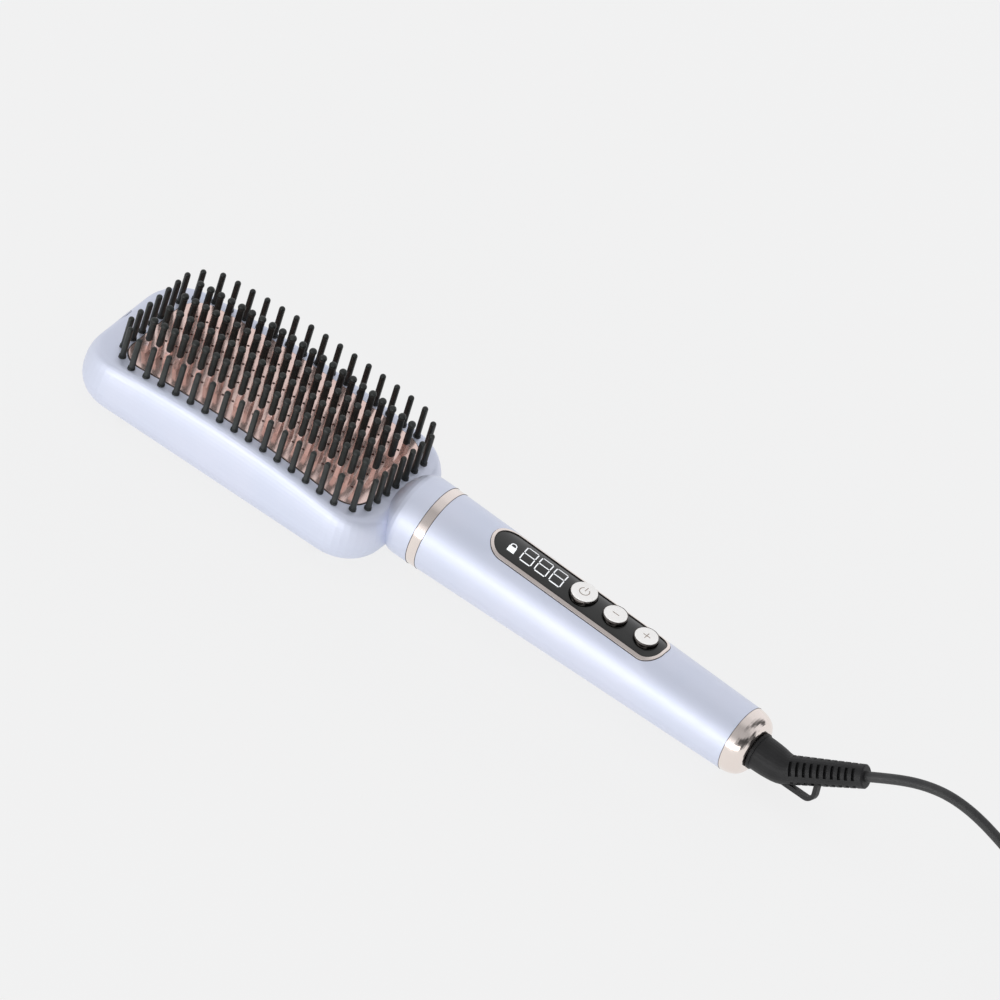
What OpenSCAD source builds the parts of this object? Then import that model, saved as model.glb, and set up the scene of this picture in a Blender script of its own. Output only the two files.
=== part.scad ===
// Steam hair straightener brush, lying on its back with the bristles up.
// +X runs from the tip of the head to the cord, +Z is the bristle side.
// The origin is on the surface it lies on, under the middle of the brush without its cord.

/* [Head] */
// Distance from the heating plate to the tip of the head
tip_border = 15.7; // [15.5:0.1:19]
// Distance from the heating plate to the neck side of the head
neck_border = 11.2; // [11:0.1:16]
// Distance from the heating plate to the sides of the head
side_border = 8.9; // [8.6:0.1:11]
// Corner radius of the head in plan
head_corner = 18.5; // [17:0.5:20]
// Height of the seam between front shell and back cover
seam_z = 11.2; // [9:0.1:12.5]
// Height of the deck at the middle of the bristle field
deck_z = 28.3; // [27:0.1:31]
// Radius of the arched deck
deck_r = 396; // [380:2:900]
// How far the front shell's edge rounds inward
front_round = 5; // [4:0.1:5.4]
// How far the back cover's edge rounds inward
back_round = 15; // [10:0.5:16]
// Wall thickness of the shells
wall = 2.2; // [1.6:0.1:2.6]

/* [Heating plate] */
// Length of the heating plate
plate_l = 112; // [110:0.5:113]
// Width of the heating plate
plate_w = 50.2; // [48:0.2:50.6]
// Corner radius of the heating plate
plate_corner = 10; // [6:0.5:12]
// How far the plate stands above the deck
plate_rise = 0.4; // [0.2:0.1:1]
// Width of the seal line round the plate
seal_gap = 0.5; // [0.3:0.05:0.6]
// Studs in one row
stud_columns = 22; // [12:1:22]
// Distance from the plate's end to the first stud of a row
stud_border_x = 5.7; // [5.5:0.1:8]
// Distance from the plate's side to the outer rows
stud_border_y = 9.8; // [9.4:0.1:12]
// Height of a stud above the deck
stud_h = 6.8; // [4:0.1:8]
// Thickness of a stud along its row
stud_t = 1.8; // [1.5:0.1:2.2]
// Length of a stud across its row, at its foot
stud_l = 3.4; // [3:0.1:4.4]
// Length of a stud across its row, at its round top
stud_top_l = 2.3; // [2:0.1:2.6]
// Diameter of the steam vents
vent_d = 1.15; // [0.8:0.05:1.4]

/* [Bristles] */
// Height of a bristle tip above the deck
tip_h = 17.2; // [14:0.1:20]
// Diameter of a bristle tip's stem
tip_d = 2.6; // [2:0.1:2.7]
// Diameter of a bristle tip's round end
tip_ball_d = 3.1; // [2.7:0.1:3.4]
// Height of a guard bristle above the deck
guard_h = 15.2; // [10:0.1:18]
// Diameter of a guard bristle
guard_d = 2.4; // [1.8:0.1:2.5]
// Diameter of a guard bristle's foot
guard_foot_d = 2.9; // [2.7:0.1:3.2]
// Guard bristles in each long row
guard_columns = 15; // [9:2:15]
// How much shorter a long guard row is than the plate
guard_short_x = 15.82; // [15.6:0.01:24]
// Distance from the plate's side to a long guard row
guard_border_y = 2.7; // [2.6:0.1:3]
// Guard bristles in each end column, without the corners
guard_rows = 7; // [3:2:7]
// How much shorter an end column is than the plate is wide
guard_short_y = 13; // [12.6:0.1:18]
// Distance from the plate's end to an end column
guard_border_x = 2.1; // [2:0.1:2.5]

/* [Neck and handle] */
// Radius of the neck
neck_r = 16.9; // [16:0.1:18]
// Height of the handle's axis where the neck ends
axis_z = 17.5; // [17.4:0.1:18.4]
// Distance from the heating plate to the end of the neck
neck_reach = 21.7; // [20:0.1:28]
// Length of the neck's rounded nose
nose_l = 11; // [8:0.5:13]
// Width of the metal band
band_w = 4.1; // [3:0.1:6]
// Radius of the handle at the band
handle_r1 = 16.7; // [16:0.1:17.5]
// Radius of the handle at its end
handle_r2 = 13.6; // [13.4:0.1:14.6]
// Length of the handle
handle_l = 142.3; // [136:0.5:170]
// Wall thickness of the handle
handle_wall = 2; // [1.4:0.1:2.4]
// Length of the end cap's dome
cap_l = 7.7; // [6.5:0.1:10]

/* [Control panel] */
// Distance from the band to the panel
panel_start = 20.5; // [16:0.5:24]
// Length of the panel
panel_l = 81.7; // [80:0.1:86]
// Width of the panel
panel_w = 17.3; // [16.4:0.1:18]
// Width of the bezel round the panel
bezel_w = 1.3; // [0.9:0.1:1.6]
// Diameter of the power button
power_d = 11.2; // [9:0.1:11.6]
// Diameter of the minus and plus buttons
small_d = 9.3; // [8:0.1:9.6]
// Distance from the start of the panel to the power button
power_at = 42.5; // [40:0.5:44]
// Distance from the power button to the minus button
minus_after = 15.2; // [13.5:0.1:15.4]
// Distance from the minus button to the plus button
plus_after = 14.8; // [12.5:0.1:15]
// Height of the buttons above the handle
button_rise = 1.2; // [0.9:0.1:1.8]
// Travel of the buttons
button_travel = 0.6; // [0.3:0.1:0.7]

/* [Filler] */
// Diameter of the filler plug's head
filler_d = 9.6; // [9:0.1:9.8]
// Diameter of the filler opening
filler_bore_d = 5; // [4.4:0.1:5.2]
// Height of the filler plug's axis
filler_z = 17.3; // [17:0.1:17.4]

/* [Cord outlet] */
// Distance from the handle's end cap to the bend of the cord sleeve
sleeve_l = 13.4; // [12:0.1:18]
// Radius of the cord sleeve at the end cap
sleeve_r = 7.2; // [7:0.1:7.6]
// Angle of the bend in the sleeve
sleeve_bend = 29; // [20:0.5:35]
// How far the sleeve is turned on its swivel: at 90 its bend points straight up
swivel_turn = 68.3; // [60:0.1:80]
// Distance from the bend to the end of the strain relief
relief_l = 33.9; // [32:0.1:40]
// Diameter of the strain relief at its end
relief_d = 9.4; // [8:0.1:10]
// Slots along the strain relief
relief_slots = 10; // [5:1:10]
// Thickness of the hanging loop's strap
loop_t = 1.7; // [1.4:0.1:2]
// Width of the hanging loop's strap
loop_w = 3.4; // [2.6:0.1:4]

/* [Cord] */
// Diameter of the cord
cord_d = 4.1; // [3.6:0.1:4.3]
// Diameter of the coil at the middle of its turns
coil_d = 48; // [46:1:50]
// Full turns in the coil, with the part turn that brings its end round
coil_turns = 10.75; // [8.75:1:11.75]
// Layers of the coil
coil_layers = 4; // [4:1:4]
// Gap between neighbouring turns
coil_gap = 0.5; // [0.45:0.01:0.6]
// Length of the mains plug's body
plug_l = 36; // [34:0.5:40]
// Width of the mains plug's body
plug_w = 27; // [26:0.5:30]
// Thickness of the mains plug's body
plug_t = 13.6; // [12:0.1:15]

/* [Hidden] */
$fn = 64;

// Clearances
running = 0.25; // round pieces that slide
swivel_gap = 0.08; // the swivel's hub in the end cap
over = 1; // how far a cut runs past what it cuts

// Head outline: corner steps, side steps and levels of the skins
corner_steps = 10;
side_steps = 14;
round_power = 0.88; // under 1 makes the rounded edge fuller than an ellipse

// Head and neck, all measured from the middle of the bristle field
head_l = plate_l + tip_border + neck_border;
head_w = plate_w + 2 * side_border;
tip_to_field = plate_l / 2 + tip_border;
neck_end = plate_l / 2 + neck_reach;

// Handle axis: it falls towards the cord so that the handle's end lies on the surface
tilt = asin((axis_z - handle_r2) / (band_w + handle_l));
cap_x = band_w + handle_l; // where the end cap starts, along the handle's axis

// Middle of the brush without its cord, from the middle of the bristle field
relief_slope = cos(tilt) * cos(sleeve_bend) + sin(tilt) * sin(sleeve_bend) * sin(swivel_turn);
relief_far_x = neck_end + (cap_x + cap_l + sleeve_l) * cos(tilt) + relief_l * relief_slope
  + relief_d / 2 * sqrt(1 - relief_slope * relief_slope);
middle_x = (relief_far_x - tip_to_field) / 2;

function handle_r(x) = handle_r1 + (handle_r2 - handle_r1) * (x - band_w) / handle_l;

// Fields of studs and guard bristles, all measured from the plate
stud_pitch = (plate_l - 2 * stud_border_x) / (stud_columns - 1);
stud_rows = 4;
row_pitch = (plate_w - 2 * stud_border_y) / (stud_rows - 1);
guard_pitch_x = (plate_l - guard_short_x) / (guard_columns - 1);
guard_pitch_y = (plate_w - guard_short_y) / (guard_rows - 1);
guard_row_y = plate_w / 2 + guard_border_y;
guard_column_x = plate_l / 2 + guard_border_x;
corner_guard = [guard_column_x - 3.4, guard_row_y - 3.6];

// Plate and steam parts
plate_bottom = 23;
tray_wall = 1.4;
tray_h = 5.6;
tray_l = plate_l - 6;
tray_w = plate_w - 5;
tray_corner = plate_corner - 3;
heater_t = 3;
heater_w = 6;
heater_l = plate_l - 28;
tank_floor = wall + 0.9;
tank_top = 14.4;
tank_l = plate_l - 16;
tank_w = 38;
tank_wall = 1.5;
riser_x = -tip_to_field + wall + 5.2; // the tank's riser stands behind the filler plug
riser_l = 6;
riser_w = 18;
riser_floor = tank_floor + 2.3;
spout_r = filler_bore_d / 2 + 1.2;
filler_head_t = 3.1; // the plug's head, from the tip of the head inward
stem_l = 5.6;
oring_r = 0.42;
tank_x = riser_x + riser_l;
feed_z = 8;
pump_gap = 3.3; // bridged by the tube from the tank
pump_x = tank_x + tank_l + pump_gap;
pump_l = 16;
pump_w = 12;
pump_floor = 4;
pump_h = 9.5;
outlet_x = pump_x + 6;
stub_r = 1.3;
tube_r = 2.1;

// Guard strips under the deck
strip_h = 1.6;
end_strip_top = deck_at(guard_column_x) - wall - 0.35;
strip_w = guard_foot_d + 0.6;
strip_gap = 0.1;
foot_rise = 0.8;
corner_strip_l = 8.2;
riser_top = end_strip_top - strip_h - 0.3;
long_strip_l = (guard_columns - 1) * guard_pitch_x + strip_w;
end_strip_l = (guard_rows - 1) * guard_pitch_y + strip_w;

// Handle inside
chassis_gap = 0.2;
chassis_wall = 1.6;
chassis_start = -6.5;
chassis_end = cap_x - 14.4;
board_z = 3;
board_t = 1.6;
board_l = 92;
board_w = 19;
board_ledge = 1.6;
converter = [30, 16, 10, 8]; // place along the board, length, width, height
smoother = [56, 4, 10]; // place along the board, radius, height
relay = [72, 10, 12, 6]; // as the converter
board_start = panel_start + band_w - 3;
display_l = 30;
display_h = 7.2;
switch_h = 3.5;
stem_h = 1;
flange_t = 0.8;
flange_rim = 0.8;
face_rim = 0.7;
face_t = 0.5;
lens_t = 1.6;
lens_drop = 0.12;
bezel_rise = 0.3;
panel_x = band_w + panel_start;
power_x = panel_x + power_at;
minus_x = power_x + minus_after;
plus_x = minus_x + plus_after;

// Swivel
core_r = 6;
core_flange_r = 9.5;
core_flange_t = 3;
cap_wall = 5;
cap_spigot = 6;
cord_hole_r = cord_d / 2 + 0.2;

// Strain relief
relief_r1 = 5.7; // at the bend
slot_pitch = 2.85;
slot_w = 1.3;
slot_depth = 1.7;
slot_end = 3.7; // from the last slot to the end of the strain relief
slot_turn = -15; // of the rows of slots round the strain relief

// Where the strain relief ends and which way it points, in the row's frame
relief_end = from_swivel([sleeve_l + relief_l * cos(sleeve_bend), relief_l * sin(sleeve_bend), 0]);
relief_way = unit(relief_end - from_swivel([sleeve_l, 0, 0]));
route_turn = atan2(relief_way[1], relief_way[0]);

// Cord route from the strain relief to the coil: along the relief, to its left,
// share of the height from the table up to the strain relief's end
route_low = 2.1;
cord_route = [
  [0, 0, 1], [6, 0, 1.11], [12, 0, 1.212], [18, 0.1, 1.291], [24, 0.3, 1.334], [30, 0.7, 1.334],
  [36, 1.2, 1.287], [42, 1.8, 1.196], [48, 2.4, 1.07], [54, 3, 0.917], [60, 3.6, 0.752],
  [66, 4.1, 0.582], [72, 4.6, 0.421], [78, 5, 0.279], [84, 5.3, 0.165], [90, 5.5, 0.083],
  [96, 5.65, 0.031], [102, 5.75, 0.008], [109, 5.8, 0], [116, 5.8, 0], [123, 5.8, 0]
];
route_end = cord_route[len(cord_route) - 1];
coil_start_angle = 90;
turn_pitch = cord_d + coil_gap;
layer_turns = coil_turns / coil_layers;
coil_outer = coil_d / 2 + turn_pitch * layer_turns / 2;
coil_centre = [route_end[0] + cord_d, route_end[1] - coil_outer];
coil_steps = 24;
coil_top = route_low + (coil_layers - 1) * turn_pitch;

// Cord route from the coil's end to the plug: along, left, share of the rise onto the plug's height
tail_route = [
  [0, 0, 0], [0, 7, 0.08], [0.2, 13, 0.28], [1, 19, 0.52],
  [3.4, 24.4, 0.74], [7.6, 28.6, 0.9], [13, 31, 0.97], [19, 31, 1],
  [24.4, 28.6, 1], [28.6, 24.4, 1], [31, 19, 1], [31, 13, 1]
];
plug_z = coil_top + cord_d / 2 + 0.3 + plug_t / 2;

// ---- lists and skins ----

function joined(lists) = [for (l = lists) for (p = l) p];

// Triangles between rings of m points, n rings in all
function side_faces(n, m) = [
  for (i = [0:n - 2]) for (j = [0:m - 1]) let (k = (j + 1) % m) each [
    [i * m + j, (i + 1) * m + k, i * m + k],
    [i * m + j, (i + 1) * m + j, (i + 1) * m + k]
  ]
];

// A ring whose points j and m-1-j face each other is closed by strips between them.
function strip_cap(first, m, up) = [
  for (j = [0:m / 2 - 2]) let (
    a = first + j, b = first + j + 1, c = first + m - 2 - j, d = first + m - 1 - j
  ) each (up ? [[a, c, b], [a, d, c]] : [[a, b, c], [a, c, d]])
];

// A closed skin through rings of points that run counterclockwise, seen from the last ring.
module skin(rings) {
  n = len(rings);
  m = len(rings[0]);
  polyhedron(
    points = joined(rings),
    faces = concat(side_faces(n, m), strip_cap(0, m, false), strip_cap((n - 1) * m, m, true))
  );
}

// Half of the head's outline, y from 0 up, from the neck side to the tip, inset evenly
function half_outline(inset) = let (
  r = max(head_corner - inset, 1.5),
  x1 = head_l - tip_to_field - inset - r,
  x0 = -tip_to_field + inset + r,
  y1 = head_w / 2 - inset - r
) concat(
  [for (k = [0:corner_steps]) let (a = 90 * k / corner_steps) [x1 + r * cos(a), y1 + r * sin(a)]],
  [for (k = [1:side_steps - 1]) [x1 + (x0 - x1) * k / side_steps, y1 + r]],
  [for (k = [0:corner_steps]) let (a = 90 + 90 * k / corner_steps) [x0 + r * cos(a), y1 + r * sin(a)]]
);

function head_outline(inset) = let (half = half_outline(inset), n = len(half)) concat(
  half, [for (k = [n - 1:-1:0]) [half[k][0], -half[k][1]]]
);

function deck_at(x) = deck_z - deck_r + sqrt(deck_r * deck_r - x * x);

// One level of a rounded edge: angle 0 is the seam, 90 is the deck or the underside.
function edge_in(reach, a) = reach * (1 - pow(max(cos(a), 0), round_power));
function edge_up(a) = pow(sin(a), round_power);

module front_skin(inset, levels) {
  skin([
    for (l = [0:levels]) let (a = 90 * l / levels)
      [for (p = head_outline(inset + edge_in(front_round, a)))
        [p[0], p[1], seam_z + (deck_at(p[0]) - inset - seam_z) * edge_up(a)]]
  ]);
}

module back_skin(inset, levels) {
  skin([
    for (l = [levels:-1:0]) let (a = 90 * l / levels)
      [for (p = head_outline(inset + edge_in(back_round, a)))
        [p[0], p[1], seam_z - (seam_z - inset) * edge_up(a)]]
  ]);
}

// ---- frames and shared shapes ----

module at_field() translate([-middle_x, 0, 0]) children();

module on_axis() at_field() translate([neck_end, 0, axis_z]) rotate([0, tilt, 0]) children();

// A cylinder or cone along the handle's axis
module along(x1, x2, r1, r2) translate([x1, 0, 0]) rotate([0, 90, 0]) cylinder(h = x2 - x1, r1 = r1, r2 = r2);

// A profile of [x, radius] points revolved round the handle's axis
module revolved(points) {
  rotate([0, 90, 0]) rotate_extrude($fn = 96) polygon([for (p = points) [p[1], p[0]]]);
}

module rounded_rect(l, w, r) {
  square([l - 2 * r, w], center = true);
  square([l, w - 2 * r], center = true);
  for (sx = [-1, 1]) for (sy = [-1, 1]) translate([sx * (l / 2 - r), sy * (w / 2 - r)]) circle(r);
}

module rounded_block(l, w, r, z1, z2) {
  translate([0, 0, z1]) linear_extrude(z2 - z1) rounded_rect(l, w, r);
}

// The solid under the arched deck, raised or lowered
module under_arch(rise) {
  translate([0, head_w / 2, deck_z - deck_r]) rotate([90, 0, 0])
    cylinder(h = head_w, r = deck_r + rise, $fn = 360);
}

// The solid of the neck in the handle's frame, with its rounded nose
nose_steps = 10;
nose_back = 7.1; // from the start of the nose's full radius to the end of the neck
module neck_solid(inset, run_out) {
  revolved(concat(
    [for (k = [0:nose_steps]) let (a = 90 * k / nose_steps)
      [-nose_back - (nose_l - inset) * cos(a), (neck_r - inset) * sin(a)]],
    [[run_out, neck_r - inset], [run_out, 0]]
  ));
}

// ---- head shells ----

screw_places = [for (sx = [-1, 1]) for (sy = [-1, 1]) [sx * (plate_l / 2 - 11), sy * (plate_w / 2 + 3.1)]];
screw_hole_r = 1.3;
boss_r = 2.5;
screw_sink = 5.4; // from the underside up to the seat of the head
screw_head_r = 2.1;
screw_head_t = 1.6;
screw_l = 13;

module guard_holes() {
  for (c = [0:guard_columns - 1]) for (s = [-1, 1])
    translate([(c - (guard_columns - 1) / 2) * guard_pitch_x, s * guard_row_y, seam_z + over])
      cylinder(h = deck_z, r = guard_foot_d / 2 + 0.1, $fn = 24);
  for (s = [-1, 1]) {
    for (r = [0:guard_rows - 1])
      translate([s * guard_column_x, (r - (guard_rows - 1) / 2) * guard_pitch_y, seam_z + over])
        cylinder(h = deck_z, r = guard_foot_d / 2 + 0.1, $fn = 24);
    for (t = [-1, 1]) translate([s * corner_guard[0], t * corner_guard[1], seam_z + over])
      cylinder(h = deck_z, r = guard_foot_d / 2 + 0.1, $fn = 24);
  }
}

// The strips under the deck that carry the guard bristles, grown by a gap
module long_strips(sides, grow) {
  difference() {
    intersection() {
      for (s = sides) translate([-long_strip_l / 2 - grow, s * guard_row_y - strip_w / 2 - grow, seam_z])
        cube([long_strip_l + 2 * grow, strip_w + 2 * grow, deck_z]);
      under_arch(grow - wall - 0.05 - strip_gap);
    }
    under_arch(-wall - strip_h - grow);
  }
}

module end_strip(s, grow) {
  top = end_strip_top;
  lean = atan2(corner_guard[1] - (guard_rows - 1) / 2 * guard_pitch_y, guard_column_x - corner_guard[0]);
  translate([s * guard_column_x - strip_w / 2 - grow, -end_strip_l / 2 - grow, top - strip_h - grow])
    cube([strip_w + 2 * grow, end_strip_l + 2 * grow, strip_h + 2 * grow]);
  for (t = [-1, 1]) translate([s * guard_column_x, t * (guard_rows - 1) / 2 * guard_pitch_y, top - strip_h - grow])
    rotate([0, 0, s > 0 ? t * (180 - lean) : t * lean])
      translate([-1, -strip_w / 2 - grow, 0]) cube([corner_strip_l + grow, strip_w + 2 * grow, strip_h + 2 * grow]);
}

module at_filler() translate([-tip_to_field, 0, filler_z]) rotate([0, 90, 0]) children();

module head_front_shell() color([0.80, 0.83, 0.93]) {
  at_field() difference() {
    union() {
      front_skin(0, 12);
      intersection() {
        translate([neck_end, 0, axis_z]) rotate([0, tilt, 0]) neck_solid(0, 0);
        translate([0, -head_w / 2, seam_z]) cube([neck_end + 2 * over, head_w, deck_z]);
      }
    }
    difference() {
      front_skin(wall, 6);
      for (p = screw_places) translate([p[0], p[1], 0]) cylinder(h = deck_z, r = boss_r);
      at_filler() cylinder(h = wall + 3, r = filler_d / 2 + 1.6);
    }
    translate([neck_end, 0, axis_z]) rotate([0, tilt, 0]) neck_solid(wall, over);
    rounded_block(plate_l + 2 * seal_gap, plate_w + 2 * seal_gap, plate_corner + seal_gap, seam_z + over, deck_z + over);
    guard_holes();
    long_strips([-1, 1], strip_gap);
    end_strip(-1, strip_gap);
    end_strip(1, strip_gap);
    for (p = screw_places) translate([p[0], p[1], seam_z - over]) cylinder(h = 9 + over, r = screw_hole_r - 0.3);
    at_filler() translate([0, 0, -over]) cylinder(h = filler_head_t + 0.3 + over, r = filler_d / 2 + running);
    at_filler() cylinder(h = wall + 7.5, r = spout_r + 0.3);
  }
}

module head_back_cover() color([0.77, 0.80, 0.92]) {
  at_field() difference() {
    union() {
      back_skin(0, 10);
      intersection() {
        translate([neck_end, 0, axis_z]) rotate([0, tilt, 0]) neck_solid(0, 0);
        translate([0, -head_w / 2, -over]) cube([neck_end + 2 * over, head_w, seam_z + over]);
      }
    }
    difference() {
      back_skin(wall, 5);
      for (p = screw_places) translate([p[0], p[1], 0]) cylinder(h = seam_z, r = boss_r + 0.9);
    }
    translate([neck_end, 0, axis_z]) rotate([0, tilt, 0]) neck_solid(wall, over);
    for (p = screw_places) translate([p[0], p[1], -over]) {
      cylinder(h = seam_z + 2 * over, r = screw_hole_r);
      cylinder(h = over + screw_sink, r = screw_head_r + 0.3);
    }
  }
}

module cover_screws() color([0.45, 0.46, 0.48]) at_field() {
  for (p = screw_places) translate([p[0], p[1], screw_sink]) difference() {
    union() {
      translate([0, 0, -screw_head_t]) cylinder(h = screw_head_t, r = screw_head_r);
      cylinder(h = screw_l, r = screw_hole_r - 0.32);
    }
    translate([0, 0, -screw_head_t - over]) cylinder(h = 0.9 + over, r = 1, $fn = 6);
  }
}

// ---- heating plate ----

// A tapered blade across its row with a round top edge
module stud(x) {
  foot = stud_l / 2;
  side_r = stud_top_l / 2;
  top = deck_at(x) + stud_h;
  translate([x - stud_t / 2, 0, 0]) rotate([90, 0, 90]) linear_extrude(stud_t) {
    polygon([
      [-foot, plate_bottom + over], [foot, plate_bottom + over], [foot, deck_at(x)],
      [side_r, top - side_r], [-side_r, top - side_r], [-foot, deck_at(x)]
    ]);
    translate([0, top - side_r]) circle(side_r);
  }
}

function column_x(c) = (c - (stud_columns - 1) / 2) * stud_pitch;
function row_y(r) = (r - (stud_rows - 1) / 2) * row_pitch;

module heating_plate() color([0.86, 0.66, 0.60]) at_field() {
  difference() {
    union() {
      intersection() {
        rounded_block(plate_l, plate_w, plate_corner, plate_bottom, deck_z + 2);
        under_arch(plate_rise);
      }
      for (r = [0:stud_rows - 1]) for (c = [0:stud_columns - 1]) translate([0, row_y(r), 0]) stud(column_x(c));
    }
    for (r = [0:stud_rows - 1]) for (c = [0:stud_columns - 2])
      translate([column_x(c) + stud_pitch / 2, row_y(r), plate_bottom - over])
        cylinder(h = deck_z, r = vent_d / 2, $fn = 24);
  }
}

module plate_gasket() color([0.09, 0.09, 0.10]) at_field() {
  intersection() {
    difference() {
      rounded_block(
        plate_l + 2 * seal_gap - 0.04, plate_w + 2 * seal_gap - 0.04, plate_corner + seal_gap, plate_bottom, deck_z + 2
      );
      rounded_block(plate_l + 0.04, plate_w + 0.04, plate_corner, plate_bottom - over, deck_z + 3);
    }
    under_arch(-0.05);
  }
}

// ---- bristles ----

// A guard bristle from the strip under the deck to its round end
module guard(x) {
  foot = deck_at(x);
  r = guard_d / 2;
  translate([0, 0, foot - wall - strip_h + 0.3]) cylinder(h = wall + strip_h + foot_rise - 0.3, r = guard_foot_d / 2, $fn = 24);
  translate([0, 0, foot]) cylinder(h = guard_h - r, r = r, $fn = 24);
  translate([0, 0, foot + guard_h - r]) sphere(r = r, $fn = 24);
}

module guard_strip_long(s) color([0.13, 0.14, 0.14]) at_field() {
  long_strips([s], 0);
  for (c = [0:guard_columns - 1]) let (x = (c - (guard_columns - 1) / 2) * guard_pitch_x)
    translate([x, s * guard_row_y, 0]) guard(x);
}

module guard_strip_end(s) color([0.13, 0.14, 0.14]) at_field() {
  end_strip(s, 0);
  for (t = [-1, 1]) translate([s * corner_guard[0], t * corner_guard[1], 0]) guard(corner_guard[0]);
  for (r = [0:guard_rows - 1])
    translate([s * guard_column_x, (r - (guard_rows - 1) / 2) * guard_pitch_y, 0]) guard(guard_column_x);
}

module guard_strip_near() guard_strip_long(-1);
module guard_strip_far() guard_strip_long(1);
module guard_strip_tip() guard_strip_end(-1);
module guard_strip_neck() guard_strip_end(1);

// A tip stands over its stud like a saddle: a stem with a ball end
module bristle_tips(row) color([0.11, 0.12, 0.12]) at_field() {
  r = tip_ball_d / 2;
  for (c = [0:stud_columns - 1]) let (x = column_x(c))
    translate([x, row_y(row), deck_at(x)]) {
      difference() {
        translate([0, 0, stud_h - 0.6]) cylinder(h = tip_h - stud_h + 0.6 - r, r1 = tip_d / 2 + 0.1, r2 = tip_d / 2, $fn = 24);
        translate([-over * 3, 0, stud_h - stud_top_l / 2]) rotate([0, 90, 0])
          cylinder(h = over * 6, r = stud_top_l / 2 + 0.01, $fn = 96);
      }
      translate([0, 0, tip_h - r]) sphere(r = r, $fn = 24);
    }
}

module bristle_tips_row_1() bristle_tips(0);
module bristle_tips_row_2() bristle_tips(1);
module bristle_tips_row_3() bristle_tips(2);
module bristle_tips_row_4() bristle_tips(3);

// ---- steam and heat ----

module steam_tray() color([0.55, 0.56, 0.58]) at_field() difference() {
  rounded_block(tray_l, tray_w, tray_corner, plate_bottom - tray_h, plate_bottom);
  rounded_block(
    tray_l - 2 * tray_wall, tray_w - 2 * tray_wall, tray_corner - tray_wall,
    plate_bottom - tray_h + tray_wall, plate_bottom + over
  );
  translate([outlet_x, 0, plate_bottom - tray_h - over]) cylinder(h = tray_wall + 2 * over, r = stub_r + 0.3);
}

module ptc_heaters() color([0.80, 0.76, 0.66]) at_field() {
  for (r = [-1, 0, 1]) translate([-heater_l / 2, r * row_pitch - heater_w / 2, plate_bottom - heater_t])
    cube([heater_l, heater_w, heater_t]);
}

module thermistor() color([0.75, 0.55, 0.30]) at_field() {
  translate([-8, row_pitch / 2 - 1, plate_bottom - 2]) cube([7, 2, 2]);
}

module thermal_fuse() color([0.85, 0.85, 0.80]) at_field() {
  translate([4, -row_pitch / 2, plate_bottom - 1.75]) rotate([0, 90, 0]) cylinder(h = 11, r = 1.7);
}

// A flat tank with a riser behind the filler plug, whose spout takes the plug's stem
module water_tank() color([0.75, 0.86, 0.92, 0.6]) at_field() difference() {
  union() {
    translate([tank_x + tank_l / 2, 0, 0]) rounded_block(tank_l, tank_w, 6, tank_floor, tank_top);
    translate([riser_x, -riser_w / 2, riser_floor]) cube([riser_l + 2, riser_w, riser_top - riser_floor]);
    at_filler() translate([0, 0, wall + 1.4]) cylinder(h = 6, r = spout_r);
  }
  translate([tank_x + tank_l / 2, 0, 0]) rounded_block(
    tank_l - 2 * tank_wall, tank_w - 2 * tank_wall, 6 - tank_wall, tank_floor + tank_wall, tank_top - tank_wall
  );
  translate([riser_x + tank_wall, -riser_w / 2 + tank_wall, riser_floor + tank_wall])
    cube([riser_l + 2, riser_w - 2 * tank_wall, tank_top - tank_wall - riser_floor - tank_wall]);
  translate([riser_x + tank_wall, -riser_w / 2 + tank_wall, riser_floor + tank_wall])
    cube([riser_l + 2 - 2 * tank_wall, riser_w - 2 * tank_wall, riser_top - riser_floor - 2 * tank_wall]);
  at_filler() cylinder(h = wall + 6.7, r = filler_bore_d / 2);
  translate([tank_x + tank_l - tank_wall - over, 0, feed_z]) rotate([0, 90, 0])
    cylinder(h = tank_wall + 2 * over, r = stub_r + 0.3);
}

module micro_pump() color([0.30, 0.32, 0.36]) at_field() {
  translate([pump_x, -pump_w / 2, pump_floor]) cube([pump_l, pump_w, pump_h]);
  translate([pump_x - 3, 0, feed_z]) rotate([0, 90, 0]) cylinder(h = 3.2, r = stub_r);
  translate([outlet_x, 0, pump_floor + pump_h - 0.1]) cylinder(h = 3, r = stub_r);
}

// One tube from the tank to the pump, one from the pump up to the steam tray
module feed_tubes() color([0.92, 0.92, 0.88]) at_field() {
  translate([tank_x + tank_l, 0, feed_z]) rotate([0, 90, 0]) feed_tube(pump_x - tank_x - tank_l);
  translate([outlet_x, 0, pump_floor + pump_h]) feed_tube(plate_bottom - tray_h - pump_floor - pump_h);
}

module feed_tube(l) difference() {
  cylinder(h = l, r = tube_r);
  translate([0, 0, -over]) cylinder(h = l + 2 * over, r = stub_r + 0.1);
}

// ---- filler plug ----

plug_stem_r = filler_bore_d / 2 - running;
module filler_plug() color([0.20, 0.21, 0.23]) at_field() {
  intersection() {
    front_skin(0, 12);
    at_filler() translate([0, 0, -over]) cylinder(h = filler_head_t + over, r = filler_d / 2);
  }
  at_filler() translate([0, 0, filler_head_t - 0.1]) difference() {
    cylinder(h = stem_l + 0.1, r = plug_stem_r);
    translate([0, 0, stem_l - 2.4]) rotate_extrude() translate([plug_stem_r - 0.18, 0]) circle(oring_r + 0.03, $fn = 24);
  }
}

module filler_oring() color([0.70, 0.25, 0.20]) at_field() at_filler() translate([0, 0, filler_head_t + stem_l - 2.5]) {
  rotate_extrude() translate([plug_stem_r - 0.18, 0]) circle(oring_r, $fn = 24);
}

// ---- handle ----

module neck_band() color([0.84, 0.78, 0.74]) on_axis() difference() {
  along(0.02, band_w - 0.02, neck_r - 0.05, handle_r1 + 0.02);
  along(-over, band_w + over, neck_r - wall - 0.2, neck_r - wall - 0.2);
}

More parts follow.
